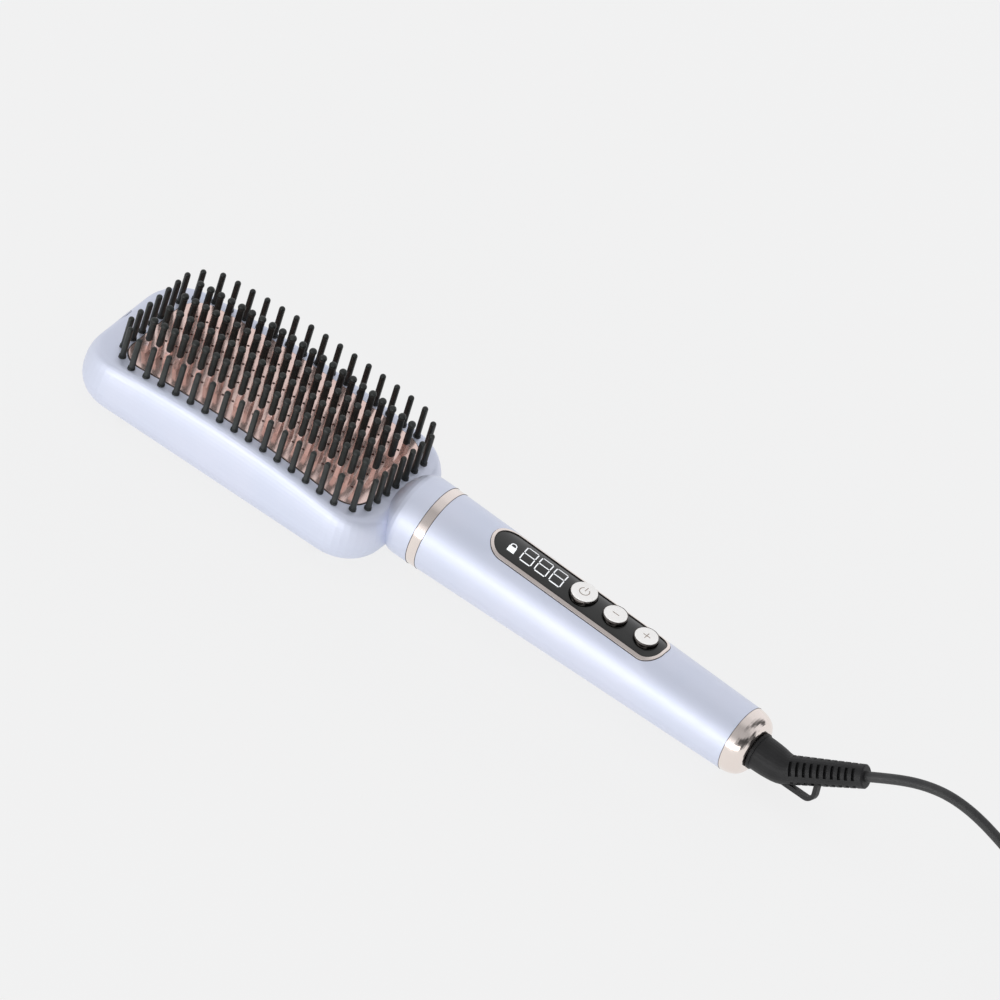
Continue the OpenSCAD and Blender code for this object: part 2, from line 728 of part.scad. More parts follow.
panel_end_r = 7.2; // the rounding of the panel's corners towards the cord
module panel_outline(grow) {
  hw = panel_w / 2 + grow;
  rc = panel_end_r + grow;
  translate([panel_x + panel_w / 2, 0]) circle(hw);
  translate([panel_x + panel_w / 2, -hw]) square([panel_l - panel_w / 2 + grow - rc, 2 * hw]);
  translate([panel_x + panel_w / 2, -hw + rc]) square([panel_l - panel_w / 2 + grow, 2 * (hw - rc)]);
  for (s = [-1, 1]) translate([panel_x + panel_l + grow - rc, s * (hw - rc)]) circle(rc);
}

module panel_prism(grow) translate([0, 0, 5]) linear_extrude(16) panel_outline(grow);

module handle_cone(inset) along(band_w, cap_x, handle_r1 - inset, handle_r2 - inset);

module handle_shell() color([0.80, 0.83, 0.93]) on_axis() difference() {
  handle_cone(0);
  along(band_w - over, cap_x + over, handle_r(band_w - over) - handle_wall, handle_r(cap_x + over) - handle_wall);
  panel_prism(0);
}

module panel_bezel() color([0.84, 0.76, 0.72]) on_axis() difference() {
  intersection() {
    panel_prism(-0.1);
    handle_cone(-bezel_rise);
  }
  handle_cone(handle_wall);
  panel_prism(-bezel_w);
}

module display_lens() color([0.05, 0.05, 0.06]) on_axis() difference() {
  intersection() {
    panel_prism(-bezel_w - 0.1);
    handle_cone(lens_drop);
  }
  handle_cone(lens_drop + lens_t);
  for (b = [[power_x, power_d], [minus_x, small_d], [plus_x, small_d]])
    translate([b[0], 0, 0]) cylinder(h = 30, r = b[1] / 2 + running);
}

// The cones of the chassis: the outside, or the inside when deeper
module chassis_cone(depth) {
  r1 = handle_r1 - handle_wall - chassis_gap - 0.2 - depth;
  r2 = handle_r(chassis_end) - handle_wall - chassis_gap - depth;
  along(chassis_start - (depth > 0 ? over : 0), band_w, r1, r1);
  along(band_w, chassis_end + (depth > 0 ? over : 0), r1, r2);
}

// A trough under the electronics, with a ledge along each side for the board
module handle_chassis() color([0.36, 0.38, 0.42]) on_axis() difference() {
  chassis_cone(0);
  difference() {
    chassis_cone(chassis_wall);
    for (s = [-1, 1]) translate([board_start, s * (board_w / 2 + 1.5) - 3, board_z - board_ledge])
      cube([board_l, 6, board_ledge]);
  }
  translate([chassis_start - over, -handle_r1, board_z]) cube([chassis_end - chassis_start + 2 * over, 2 * handle_r1, 2 * handle_r1]);
}

module control_board() color([0.16, 0.40, 0.26]) on_axis() {
  translate([board_start, -board_w / 2, board_z]) cube([board_l, board_w, board_t]);
  // Mains parts hang under the board
  for (b = [converter, relay]) translate([board_start + b[0], -b[2] / 2, board_z - b[3]]) cube([b[1], b[2], b[3]]);
  translate([board_start + smoother[0], 0, board_z - smoother[2]]) cylinder(h = smoother[2], r = smoother[1]);
}

module display_module() color([0.90, 0.90, 0.88]) on_axis() {
  translate([panel_x + 6, -6.4, board_z + board_t]) cube([display_l, 12.8, display_h]);
}

module tact_switches() color([0.20, 0.20, 0.22]) on_axis() {
  for (x = [power_x, minus_x, plus_x]) translate([x, 0, board_z + board_t]) {
    translate([-3, -3, 0]) cube([6, 6, switch_h]);
    cylinder(h = switch_h + stem_h, r = 1.7);
  }
}

// A button in its resting place: a cap through the lens, a flange under it and a post over its switch
module button(x, d) color([0.10, 0.10, 0.12]) on_axis() {
  top = handle_r(x) + button_rise;
  flange_top = sqrt(pow(handle_r(x) - lens_drop - lens_t - 0.25, 2) - pow(d / 2 + flange_rim, 2)) - 0.35;
  post = board_z + board_t + switch_h + stem_h + button_travel + 0.2;
  r = d / 2;
  translate([x, 0, 0]) difference() {
    rotate_extrude($fn = 96) polygon([
      [0, post], [1.6, post], [1.6, flange_top - flange_t], [r + flange_rim, flange_top - flange_t],
      [r + flange_rim, flange_top], [r, flange_top], [r, top - 0.45], [r - 0.13, top - 0.13],
      [r - 0.45, top], [0, top]
    ]);
    translate([0, 0, top - face_t + 0.1]) cylinder(h = 1, r = r - face_rim + 0.04);
  }
}

module button_face(x, d) color([0.86, 0.80, 0.76]) on_axis() {
  top = handle_r(x) + button_rise;
  r = d / 2 - face_rim;
  translate([x, 0, top - face_t + 0.1]) rotate_extrude($fn = 96)
    polygon([[0, 0], [r, 0], [r, face_t - 0.15], [r - 0.15, face_t], [0, face_t]]);
}

module power_button() button(power_x, power_d);
module power_button_face() button_face(power_x, power_d);
module minus_button() button(minus_x, small_d);
module minus_button_face() button_face(minus_x, small_d);
module plus_button() button(plus_x, small_d);
module plus_button_face() button_face(plus_x, small_d);

// ---- end cap and swivel ----

cap_steps = 12;
cap_nose_r = 9;
module end_cap() color([0.80, 0.73, 0.70]) on_axis() difference() {
  revolved(concat(
    [[cap_x - cap_spigot, 0], [cap_x - cap_spigot, handle_r(cap_x) - handle_wall - 0.1]],
    [[cap_x + 0.05, handle_r(cap_x) - handle_wall - 0.1]],
    [for (k = [0:cap_steps]) let (a = 90 * k / cap_steps)
      [cap_x + 0.05 + cap_l * sin(a), cap_nose_r + (handle_r2 - cap_nose_r) * cos(a)]],
    [[cap_x + 0.05 + cap_l, 0]]
  ));
  along(cap_x - cap_spigot - over, cap_x + cap_l - cap_wall, core_flange_r + 0.4, core_flange_r + 0.4);
  along(cap_x, cap_x + cap_l + over, core_r + swivel_gap, core_r + swivel_gap);
}

module swivel_retainer() color([0.70, 0.70, 0.72]) on_axis() difference() {
  along(cap_x - 3.2, cap_x - 1.2, core_flange_r + 0.35, core_flange_r + 0.35);
  along(cap_x - 4, cap_x, core_r - 0.4, core_r - 0.4);
}

module swivel_core() color([0.10, 0.10, 0.11]) on_axis() difference() {
  union() {
    along(cap_x + cap_l - cap_wall - 0.3 - core_flange_t, cap_x + cap_l - cap_wall - 0.3, core_flange_r, core_flange_r);
    along(cap_x - 6, cap_x + cap_l - cap_wall - 0.3, core_r - 0.7, core_r - 0.7);
    along(cap_x + cap_l - cap_wall - 1, cap_x + cap_l + 5.4, core_r, core_r);
  }
  along(cap_x - 7, cap_x + cap_l + 7, cord_hole_r, cord_hole_r);
}

// The sleeve and strain relief are one moulding, drawn with the bend in a level plane and then
// turned on the swivel.
module at_swivel() on_axis() translate([cap_x + cap_l, 0, 0]) rotate([swivel_turn, 0, 0]) children();
function from_swivel(p) = let (
  x = cap_x + cap_l + p[0],
  y = p[1] * cos(swivel_turn) - p[2] * sin(swivel_turn),
  z = p[1] * sin(swivel_turn) + p[2] * cos(swivel_turn)
) [neck_end - middle_x + x * cos(tilt) + z * sin(tilt), y, axis_z - x * sin(tilt) + z * cos(tilt)];

// Where the bent middle line is after a length from the end cap, with its heading
relief_sides = 32;
bend_r = 12;
bend_cut = bend_r * tan(sleeve_bend / 2);
bend_arc = bend_r * sleeve_bend * PI / 180;
function line_at(s) = let (s1 = sleeve_l - bend_cut, s2 = s1 + bend_arc)
  s <= s1 ? [s, 0, 0]
  : s <= s2 ? let (a = (s - s1) / bend_r * 180 / PI) [s1 + bend_r * sin(a), bend_r * (1 - cos(a)), a]
  : let (d = s - s2 + bend_cut) [sleeve_l + d * cos(sleeve_bend), d * sin(sleeve_bend), sleeve_bend];

function relief_ring(s, r) = let (p = line_at(s)) [
  for (k = [0:relief_sides - 1]) let (a = 360 * (k + 0.5) / relief_sides)
    [p[0] - r * cos(a) * sin(p[2]), p[1] + r * cos(a) * cos(p[2]), r * sin(a)]
];

relief_total = sleeve_l - 2 * bend_cut + bend_arc + relief_l;
taper_start = sleeve_l + 3;
function relief_r(s) = relief_r1 + (relief_d / 2 - relief_r1) * (s - taper_start) / (relief_total - taper_start);
module relief_skin() {
  s0 = 0.5;
  skin([
    for (st = concat(
      [[s0, sleeve_r + 0.5], [s0 + 1, sleeve_r + 0.5], [s0 + 1.2, sleeve_r]],
      [for (k = [0:10]) let (t = k / 10) [s0 + 2.5 + (taper_start - s0 - 2.5) * t, sleeve_r + (relief_r1 - sleeve_r) * t * t]],
      [[relief_total - 0.5, relief_d / 2], [relief_total, relief_d / 2 - 0.5]]
    )) relief_ring(st[0], st[1])
  ]);
}

// Slots across all four sides of the strain relief, leaving ribs and a core
module relief_cuts() {
  for (k = [0:relief_slots - 1]) {
    s = relief_total - slot_end - k * slot_pitch;
    p = line_at(s);
    r = relief_r(s);
    translate([p[0], p[1], 0]) rotate([0, 0, p[2]]) for (a = [0:90:270]) rotate([a + slot_turn, 0, 0])
      translate([-slot_w / 2, r - slot_depth, -r / 2]) cube([slot_w, 2 * slot_depth, r]);
  }
}

// A round tube along a line of points, level enough that "up" stays up
function unit(v) = v / norm(v);
function heading(path, i) = let (n = len(path)) unit(path[min(i + 1, n - 1)] - path[max(i - 1, 0)]);
module tube(path, r, sides, first_heading, last_heading) {
  n = len(path);
  rings = [
    for (i = [0:n - 1]) let (
      h = i == 0 && !is_undef(first_heading) ? unit(first_heading)
        : i == n - 1 && !is_undef(last_heading) ? unit(last_heading) : heading(path, i),
      side = unit(cross([0, 0, 1], h)),
      up = cross(h, side)
    ) [for (k = [0:sides - 1]) let (a = 360 * (k + 0.5) / sides) path[i] + r * (cos(a) * side + sin(a) * up)]
  ];
  skin(rings);
}

// The hanging loop, a strap on the outside of the bend: a bar that leaves the sleeve, a curl and
// a return into the strain relief
loop_bar = 11.4;
loop_start = [1, -4.4]; // from the bend, along the sleeve and across
loop_curl_r = 2.8;
loop_curl = 103;
loop_return = 5.4;
module strap(l) translate([0, -loop_t / 2, -loop_w / 2]) cube([l, loop_t, loop_w]);
module hanging_loop() translate([sleeve_l + loop_start[0], loop_start[1], 0]) {
  strap(loop_bar);
  translate([loop_bar, loop_curl_r, 0]) {
    rotate([0, 0, -90]) rotate_extrude(angle = loop_curl) translate([loop_curl_r - loop_t / 2, -loop_w / 2]) square([loop_t, loop_w]);
    rotate([0, 0, loop_curl]) translate([0, -loop_curl_r, 0]) strap(loop_return);
  }
}

module strain_relief() color([0.12, 0.12, 0.13]) at_swivel() {
  difference() {
    relief_skin();
    relief_cuts();
    along(0, 5.7, core_r + 0.1, core_r + 0.1);
  }
  hanging_loop();
}

// ---- cord ----

// Points given from the end of the strain relief, along it and to its left, turned to the row's frame
function from_relief(p) = [
  relief_end[0] + p[0] * cos(route_turn) - p[1] * sin(route_turn),
  relief_end[1] + p[0] * sin(route_turn) + p[1] * cos(route_turn),
  p[2]
];
run_path = [for (p = cord_route) from_relief([p[0], p[1], route_low + p[2] * (relief_end[2] - route_low)])];
function from_coil(p) = from_relief([coil_centre[0] + p[0], coil_centre[1] + p[1], p[2]]);

function smooth(t) = let (c = min(max(t, 0), 1)) c * c * (3 - 2 * c);

// The coil's radius swings steadily between its outer and inner loops. It climbs a layer
// in the half turn round each place where the spiral turns back.
function coil_point(u) = let (
  swing = u / layer_turns,
  whole = floor(swing + 0.5),
  back = abs(swing - 2 * round(swing / 2)),
  r = coil_outer - turn_pitch * layer_turns * back,
  a = coil_start_angle - 360 * u,
  layer = whole < 1 || whole > coil_layers - 1 ? (whole < 1 ? 0 : coil_layers - 1)
    : whole - 1 + smooth((u - whole * layer_turns) * 2 + 0.5)
) [r * cos(a), r * sin(a), route_low + layer * turn_pitch];

// The coil's own line, with a straight lead of one diameter at each end
coil_count = round(coil_turns * coil_steps);
coil_first = from_relief([1, 0, 0]) - from_relief([0, 0, 0]);
coil_last = from_relief([0, 1, 0]) - from_relief([0, 0, 0]);
spiral = [for (k = [0:coil_count]) from_coil(coil_point(coil_turns * k / coil_count))];
coil_end = spiral[coil_count] + coil_last * cord_d;
coil_path = concat([spiral[0] - coil_first * cord_d], spiral, [coil_end]);

function from_coil_end(p) = coil_end + p[0] * coil_first + p[1] * coil_last
  + [0, 0, p[2] * (plug_z - coil_end[2])];
tail_path = [for (p = tail_route) from_coil_end(p)];

// Least gap between the coil and itself, at least half a turn apart
coil_self_gap = min([
  for (i = [0:3:coil_count - 14]) for (j = [i + 14:coil_count]) norm(spiral[i] - spiral[j])
]) - cord_d;
function path_length(path) = [for (i = [1:len(path) - 1]) norm(path[i] - path[i - 1])] * [for (i = [1:len(path) - 1]) 1];
cord_length = path_length(run_path) + path_length(coil_path) + path_length(tail_path);

module cord_run() color([0.10, 0.10, 0.11]) {
  tube(run_path, cord_d / 2, 8, relief_way, coil_first);
}

module cord_coil() color([0.10, 0.10, 0.11]) {
  tube(coil_path, cord_d / 2, 6, coil_first, coil_last);
  echo(coil_self_gap_mm = coil_self_gap, cord_length_mm = cord_length);
}

module cord_tail() color([0.10, 0.10, 0.11]) {
  tube(tail_path, cord_d / 2, 8, coil_last, -coil_last);
}

// The plug lies on the coil, its cord end towards the last point of the tail.
module at_plug() translate(tail_path[len(tail_path) - 1]) rotate([0, 0, route_turn - 90]) children();

plug_neck_l = 10;
pin_spread = 18.6;
pin_d = 4;
pin_l = 19;
pin_seat = 4;
pin_neck = 0.3; // a pin is slimmer in its seat and this far in front of it
module plug_body() color([0.10, 0.10, 0.11]) at_plug() difference() {
  union() {
    rotate([0, 90, 0]) cylinder(h = plug_neck_l + over, r1 = cord_d / 2 + 1.2, r2 = 5);
    translate([plug_neck_l, 0, -plug_t / 2]) linear_extrude(plug_t) polygon([
      [0, -5], [6, -plug_w / 2 + 1.5], [plug_l - plug_neck_l - 2, -plug_w / 2],
      [plug_l - plug_neck_l, -plug_w / 2 + 2], [plug_l - plug_neck_l, plug_w / 2 - 2],
      [plug_l - plug_neck_l - 2, plug_w / 2], [6, plug_w / 2 - 1.5], [0, 5]
    ]);
  }
  for (s = [-1, 1]) translate([plug_l - pin_seat, s * pin_spread / 2, 0]) rotate([0, 90, 0])
    cylinder(h = pin_seat + over, r = pin_d / 2 - pin_neck + 0.02);
}

module plug_pins() color([0.80, 0.80, 0.82]) at_plug() {
  for (s = [-1, 1]) translate([plug_l - pin_seat, s * pin_spread / 2, 0]) rotate([0, 90, 0]) {
    cylinder(h = pin_seat + pin_neck, r = pin_d / 2 - pin_neck);
    translate([0, 0, pin_seat + pin_neck]) cylinder(h = pin_l - pin_neck, r = pin_d / 2);
  }
}

head_front_shell();
head_back_cover();
heating_plate();
plate_gasket();
guard_strip_near();
guard_strip_far();
guard_strip_tip();
guard_strip_neck();
bristle_tips_row_1();
bristle_tips_row_2();
bristle_tips_row_3();
bristle_tips_row_4();
steam_tray();
ptc_heaters();
thermistor();
thermal_fuse();
water_tank();
micro_pump();
feed_tubes();
cover_screws();
filler_plug();
filler_oring();
neck_band();
handle_shell();
panel_bezel();
display_lens();
handle_chassis();
control_board();
display_module();
tact_switches();
power_button();
power_button_face();
minus_button();
minus_button_face();
plus_button();
plus_button_face();
end_cap();
swivel_retainer();
swivel_core();
strain_relief();
cord_run();
cord_coil();
cord_tail();
plug_body();
plug_pins();
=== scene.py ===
import math

import bmesh
import bpy
from mathutils import Matrix, Vector


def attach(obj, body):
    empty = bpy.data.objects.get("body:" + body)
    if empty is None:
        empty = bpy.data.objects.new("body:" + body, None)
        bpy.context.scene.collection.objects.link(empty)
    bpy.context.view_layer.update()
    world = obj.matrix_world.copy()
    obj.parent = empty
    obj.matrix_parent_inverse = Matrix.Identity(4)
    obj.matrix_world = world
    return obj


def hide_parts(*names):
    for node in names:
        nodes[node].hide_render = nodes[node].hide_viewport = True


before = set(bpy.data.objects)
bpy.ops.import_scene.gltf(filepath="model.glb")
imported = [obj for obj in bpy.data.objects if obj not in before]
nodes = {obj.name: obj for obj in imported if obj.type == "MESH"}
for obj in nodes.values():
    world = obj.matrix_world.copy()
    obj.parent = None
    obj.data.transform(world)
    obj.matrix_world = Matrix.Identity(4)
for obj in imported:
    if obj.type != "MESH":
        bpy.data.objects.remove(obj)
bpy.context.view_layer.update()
scene = bpy.context.scene
MM = 0.001


# ---- Studio ----
# A long-lens camera looks down at the brush from its near side. The floor is a pale sheet that
# keeps a soft shadow, and a wide low softbox in front gives the bright band along handle and head.
# Glossy pieces mirror walls, bright low in front and dim above, with dark clutter to the right.
camera_right = Vector((0.7952, 0.5618, 0.2280))
camera_up = Vector((-0.5265, 0.4532, 0.7193))
camera_back = Vector((0.3008, -0.6921, 0.6562))
frame_middle = Vector((-0.014836, 0.0301, 0.0197))
frame_width = 0.37736
camera_distance = 12.0
camera_data = bpy.data.cameras.new("camera")
camera_data.sensor_width = 36
camera_data.lens = camera_data.sensor_width * camera_distance / frame_width
camera_data.clip_end = 40
camera = bpy.data.objects.new("camera", camera_data)
turn = Matrix((camera_right, camera_up, camera_back)).transposed().to_4x4()
camera.matrix_world = Matrix.Translation(frame_middle + camera_back * camera_distance) @ turn
scene.collection.objects.link(camera)
scene.camera = camera
scene.view_settings.view_transform = "Standard"


def add_node(tree, kind, inputs=()):
    """A new shader node. Each input gets a constant, or the socket that feeds it."""
    made = tree.nodes.new("ShaderNode" + kind)
    for key, value in dict(inputs).items():
        if isinstance(value, bpy.types.NodeSocket):
            tree.links.new(value, made.inputs[key])
        else:
            made.inputs[key].default_value = value
    return made


def add_math(tree, operation, first, second):
    made = add_node(tree, "Math", {0: first, 1: second})
    made.operation = operation
    return made.outputs[0]


def add_range(tree, value, low, high, to_low=0.0, to_high=1.0, interpolation="LINEAR"):
    made = add_node(tree, "MapRange", {
        "Value": value, "From Min": low, "From Max": high, "To Min": to_low, "To Max": to_high,
    })
    made.interpolation_type = interpolation
    return made.outputs["Result"]


def add_noise(tree, place, scale, detail):
    return add_node(
        tree, "TexNoise", {"Vector": place, "Scale": scale, "Detail": detail}
    ).outputs["Fac"]


def shiny_rays(tree):
    """The sorts of ray, and whether a ray comes from a mirroring or clear surface."""
    rays = add_node(tree, "LightPath").outputs
    return rays, add_math(tree, "MAXIMUM", rays["Is Glossy Ray"], rays["Is Transmission Ray"])


world = bpy.data.worlds.new("studio")
scene.world = world
world.use_nodes = True
tree = world.node_tree
tree.nodes.clear()
direction = add_node(tree, "TexCoord").outputs["Generated"]
parts = add_node(tree, "SeparateXYZ", {0: direction}).outputs
climb = add_math(tree, "ARCTAN2", parts["Z"], add_math(tree, "MULTIPLY", parts["Y"], -1))
walls = add_node(tree, "ValToRGB", {"Fac": add_range(tree, climb, -math.pi, math.pi)})
# Degrees round the brush's length, from straight in front and up over it, and how bright it is.
wall_stops = (
    (-180, 0.85), (-60, 0.90), (2, 1.0), (22, 1.0), (36, 0.48), (76, 0.40), (92, 0.62),
    (104, 0.66), (112, 0.66), (124, 0.76), (160, 0.80), (180, 0.85),
)
for angle, level in wall_stops:
    where = (angle + 180) / 360
    if angle in (-180, 180):
        stop = walls.color_ramp.elements[0 if angle < 0 else -1]
        stop.position = where
    else:
        stop = walls.color_ramp.elements.new(where)
    stop.color = (level, level, level * 1.02, 1)
to_the_right = add_range(tree, parts["X"], 0.1, 0.4, interpolation="SMOOTHSTEP")
clutter = add_noise(tree, direction, 2.1, 1.0)
clutter = add_range(tree, clutter, 0.44, 0.56, interpolation="SMOOTHSTEP")
clutter = add_range(tree, add_math(tree, "MULTIPLY", to_the_right, clutter), 0, 1, 1.0, 0.10)
cluttered_walls = add_node(tree, "MixRGB", {0: 1.0, 1: walls.outputs["Color"], 2: clutter})
cluttered_walls.blend_type = "MULTIPLY"
room = add_node(tree, "Background", {"Color": (0.96, 0.97, 1.0, 1), "Strength": 0.67})
mirror_room = add_node(
    tree, "Background", {"Color": cluttered_walls.outputs["Color"], "Strength": 1.1}
)
_, shiny = shiny_rays(tree)
either = add_node(tree, "MixShader", {0: shiny, 1: room.outputs[0], 2: mirror_room.outputs[0]})
add_node(tree, "OutputWorld", {"Surface": either.outputs[0]})


def softbox(name, place, aim, size, power, colour=(1, 1, 1), mirrored=False):
    lamp = bpy.data.lights.new(name, "AREA")
    lamp.shape = "RECTANGLE"
    lamp.size, lamp.size_y = size
    lamp.energy = power
    lamp.color = colour
    obj = bpy.data.objects.new(name, lamp)
    look = (Vector(aim) - Vector(place)).to_track_quat("-Z", "Y")
    obj.matrix_world = Matrix.Translation(place) @ look.to_matrix().to_4x4()
    obj.visible_glossy = mirrored
    scene.collection.objects.link(obj)


front_place, front_aim = (0.05, -1.3, 0.10), (0.0, 0.0, 0.02)
softbox("front_softbox", front_place, front_aim, (2.4, 0.50), 9.0, mirrored=True)
softbox("front_fill", front_place, front_aim, (2.4, 0.60), 12.0)
softbox("top_softbox", (-0.5, 0.5, 1.7), (0.0, 0.0, 0.0), (1.2, 1.2), 3.5, (0.97, 0.98, 1.0))
softbox("rim_softbox", (0.5, 1.5, 0.5), (0.05, 0.0, 0.0), (1.4, 0.5), 7.0)

floor_bm = bmesh.new()
bmesh.ops.create_grid(floor_bm, x_segments=1, y_segments=1, size=6)
floor_mesh = bpy.data.meshes.new("floor")
floor_bm.to_mesh(floor_mesh)
floor_bm.free()
floor = bpy.data.objects.new("floor", floor_mesh)
scene.collection.objects.link(floor)
pale = bpy.data.materials.new("pale_floor")
pale.use_nodes = True
tree = pale.node_tree
tree.nodes.clear()
rays, shiny = shiny_rays(tree)
seen = add_math(tree, "MAXIMUM", shiny, rays["Is Camera Ray"])
matt = add_node(tree, "BsdfDiffuse", {"Color": (0.8, 0.8, 0.8, 1)})
glow = add_node(tree, "Emission", {"Color": (0.90, 0.90, 0.90, 1)})
blend = add_node(tree, "MixShader", {
    0: add_math(tree, "MULTIPLY", seen, 0.9), 1: matt.outputs[0], 2: glow.outputs[0],
})
add_node(tree, "OutputMaterial", {"Surface": blend.outputs[0]})
floor_mesh.materials.append(pale)


# ---- Mains cord ----
# A round two-core lead in matte black rubber. It leaves the strain relief straight, sinks to the
# table and is put away in a neat coil of four layers. Its end climbs over the coil to the plug.
def finish(
    name, shades, roughness, metallic=0.0, patches=0, grains=0, depth=0.0, stretch=(1, 1, 1),
    more=(),
):
    """A new material on one Principled shader.

    Two shades drift into each other, with `patches` to a metre. A raised grain, with `grains` to
    a metre, is `depth` metres high and takes a pair of roughnesses from one to the other. `more`
    gives the shader's other inputs.
    """
    material = bpy.data.materials.new(name)
    material.use_nodes = True
    tree = material.node_tree
    shader = tree.nodes["Principled BSDF"]
    shader.inputs["Base Color"].default_value = (*shades[0], 1)
    shader.inputs["Metallic"].default_value = metallic
    for key, value in dict(more).items():
        shader.inputs[key].default_value = value
    place = add_node(tree, "TexCoord").outputs["Object"]
    if patches:
        drift = add_node(tree, "ValToRGB", {"Fac": add_noise(tree, place, patches, 2.0)})
        for stop, where, shade in zip(drift.color_ramp.elements, (0.35, 0.65), shades):
            stop.position = where
            stop.color = (*shade, 1)
        tree.links.new(drift.outputs["Color"], shader.inputs["Base Color"])
    if grains:
        place = add_node(tree, "Mapping", {"Vector": place, "Scale": stretch}).outputs["Vector"]
        noise = add_noise(tree, place, grains, 3.0)
        bump = add_node(tree, "Bump", {"Height": noise, "Strength": 1.0, "Distance": depth})
        tree.links.new(bump.outputs["Normal"], shader.inputs["Normal"])
    if isinstance(roughness, tuple):
        tree.links.new(add_range(tree, noise, 0.3, 0.7, *roughness), shader.inputs["Roughness"])
    else:
        shader.inputs["Roughness"].default_value = roughness
    return material


cord_rubber = finish(
    "cord_rubber", [(0.026, 0.026, 0.027), (0.036, 0.036, 0.036)], (0.46, 0.58),
    patches=160, grains=2600, depth=0.00002,
)
cord_d = 4.1
relief_end = Vector((172.35494, 6.07681, 27.51298))
relief_way = Vector((0.88630907, 0.17925678, 0.42699325))
route_low = 2.1
along_relief = Vector((relief_way.x, relief_way.y, 0)).normalized()
left_of_relief = Vector((-along_relief.y, along_relief.x, 0))
# Each point's way along the relief, its way to the left, and its share of the relief's height.
cord_route = [
    (0, 0, 1), (6, 0, 1.11), (12, 0, 1.212), (18, 0.1, 1.291), (24, 0.3, 1.334), (30, 0.7, 1.334),
    (36, 1.2, 1.287), (42, 1.8, 1.196), (48, 2.4, 1.07), (54, 3, 0.917), (60, 3.6, 0.752),
    (66, 4.1, 0.582), (72, 4.6, 0.421), (78, 5, 0.279), (84, 5.3, 0.165), (90, 5.5, 0.083),
    (96, 5.65, 0.031), (102, 5.75, 0.008), (109, 5.8, 0), (116, 5.8, 0), (123, 5.8, 0),
]
coil_d = 48
coil_turns = 10.75
coil_layers = 4
coil_steps = 60
turn_pitch = cord_d + 0.5
layer_turns = coil_turns / coil_layers
coil_outer = coil_d / 2 + turn_pitch * layer_turns / 2
coil_centre = (cord_route[-1][0] + cord_d, cord_route[-1][1] - coil_outer)
# The same for the end that climbs over the coil, from where the coil ends, as shares of plug_rise.
tail_route = [
    (0, 0, 0), (0, 7, 0.08), (0.2, 13, 0.28), (1, 19, 0.52),
    (3.4, 24.4, 0.74), (7.6, 28.6, 0.9), (13, 31, 0.97), (19, 31, 1),
    (24.4, 28.6, 1), (28.6, 24.4, 1), (31, 19, 1), (31, 13, 1),
]
plug_rise = 9.15


def from_relief(along, left, up):
    """A point given along the strain relief and to its left, in the brush's frame, in mm."""
    point = relief_end + along_relief * along + left_of_relief * left
    return Vector((point.x, point.y, up))


def coil_point(turns):
    """A point of the coil, whose layers swing in and out, each one eased on to the last."""
    swing = turns / layer_turns
    nearest = math.floor(swing + 0.5)
    back = abs(swing - 2 * round(swing / 2))
    radius = coil_outer - turn_pitch * layer_turns * back
    angle = math.radians(90 - 360 * turns)
    if nearest < 1:
        layer = 0
    elif nearest > coil_layers - 1:
        layer = coil_layers - 1
    else:
        t = min(max((turns - nearest * layer_turns) * 2 + 0.5, 0), 1)
        layer = nearest - 1 + t * t * (3 - 2 * t)
    return from_relief(
        coil_centre[0] + radius * math.cos(angle),
        coil_centre[1] + radius * math.sin(angle),
        route_low + layer * turn_pitch,
    )


def rounded_path(points, steps):
    """Points on a smooth line through the given ones."""
    ends = [points[0] * 2 - points[1]] + points + [points[-1] * 2 - points[-2]]
    line = []
    for a, b, c, d in zip(ends, ends[1:], ends[2:], ends[3:]):
        for k in range(steps):
            t = k / steps
            line.append(
                0.5 * (2 * b + (c - a) * t + (2 * a - 5 * b + 4 * c - d) * t * t
                       + (3 * b - a - 3 * c + d) * t * t * t)
            )
    return line + [points[-1]]


def tube(name, line, radius, rings, material, closed=False):
    """A round tube of one thickness along a line of points, in metres."""
    curve = bpy.data.curves.new(name, "CURVE")
    curve.dimensions = "3D"
    curve.bevel_depth = radius
    curve.bevel_resolution = rings
    curve.use_fill_caps = not closed
    spline = curve.splines.new("POLY")
    spline.points.add(len(line) - 1)
    for point, place in zip(spline.points, line):
        point.co = (*place, 1)
    spline.use_smooth = True
    spline.use_cyclic_u = closed
    curve.materials.append(material)
    obj = bpy.data.objects.new(name, curve)
    scene.collection.objects.link(obj)
    return obj


route_height = relief_end.z - route_low
run = rounded_path([from_relief(a, b, route_low + route_height * c) for a, b, c in cord_route], 4)
spiral = [coil_point(k / coil_steps) for k in range(round(coil_turns * coil_steps) + 1)]
coil_end = spiral[-1] + left_of_relief * cord_d
tail = rounded_path([
    coil_end + along_relief * a + left_of_relief * b + Vector((0, 0, plug_rise * c))
    for a, b, c in tail_route
], 4)
cord_line = [p * MM for p in run + spiral + tail]
mains_cord = tube("mains_cord", cord_line, cord_d / 2 * MM, 5, cord_rubber)
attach(mains_cord, "cord")
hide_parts("cord_run", "cord_coil", "cord_tail")


def piece(name, bm, material, body, smooth=40):
    """A finished piece from a bmesh: faces outwards, shaded smooth except at its edges."""
    bmesh.ops.recalc_face_normals(bm, faces=bm.faces)
    mesh = bpy.data.meshes.new(name)
    bm.to_mesh(mesh)
    bm.free()
    mesh.materials.append(material)
    for face in mesh.polygons:
        face.use_smooth = True
    mesh.set_sharp_from_angle(angle=math.radians(smooth))
    obj = bpy.data.objects.new(name, mesh)
    scene.collection.objects.link(obj)
    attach(obj, body)
    return obj


def box_round(angle, half_w, half_h, power):
    """A point of a rounded rectangle: a power of 2 is an ellipse, and a high one nearly square."""
    c, s = math.cos(angle), math.sin(angle)
    reach = (abs(c) ** power + abs(s) ** power) ** (-1 / power)
    return half_w * c * reach, half_h * s * reach


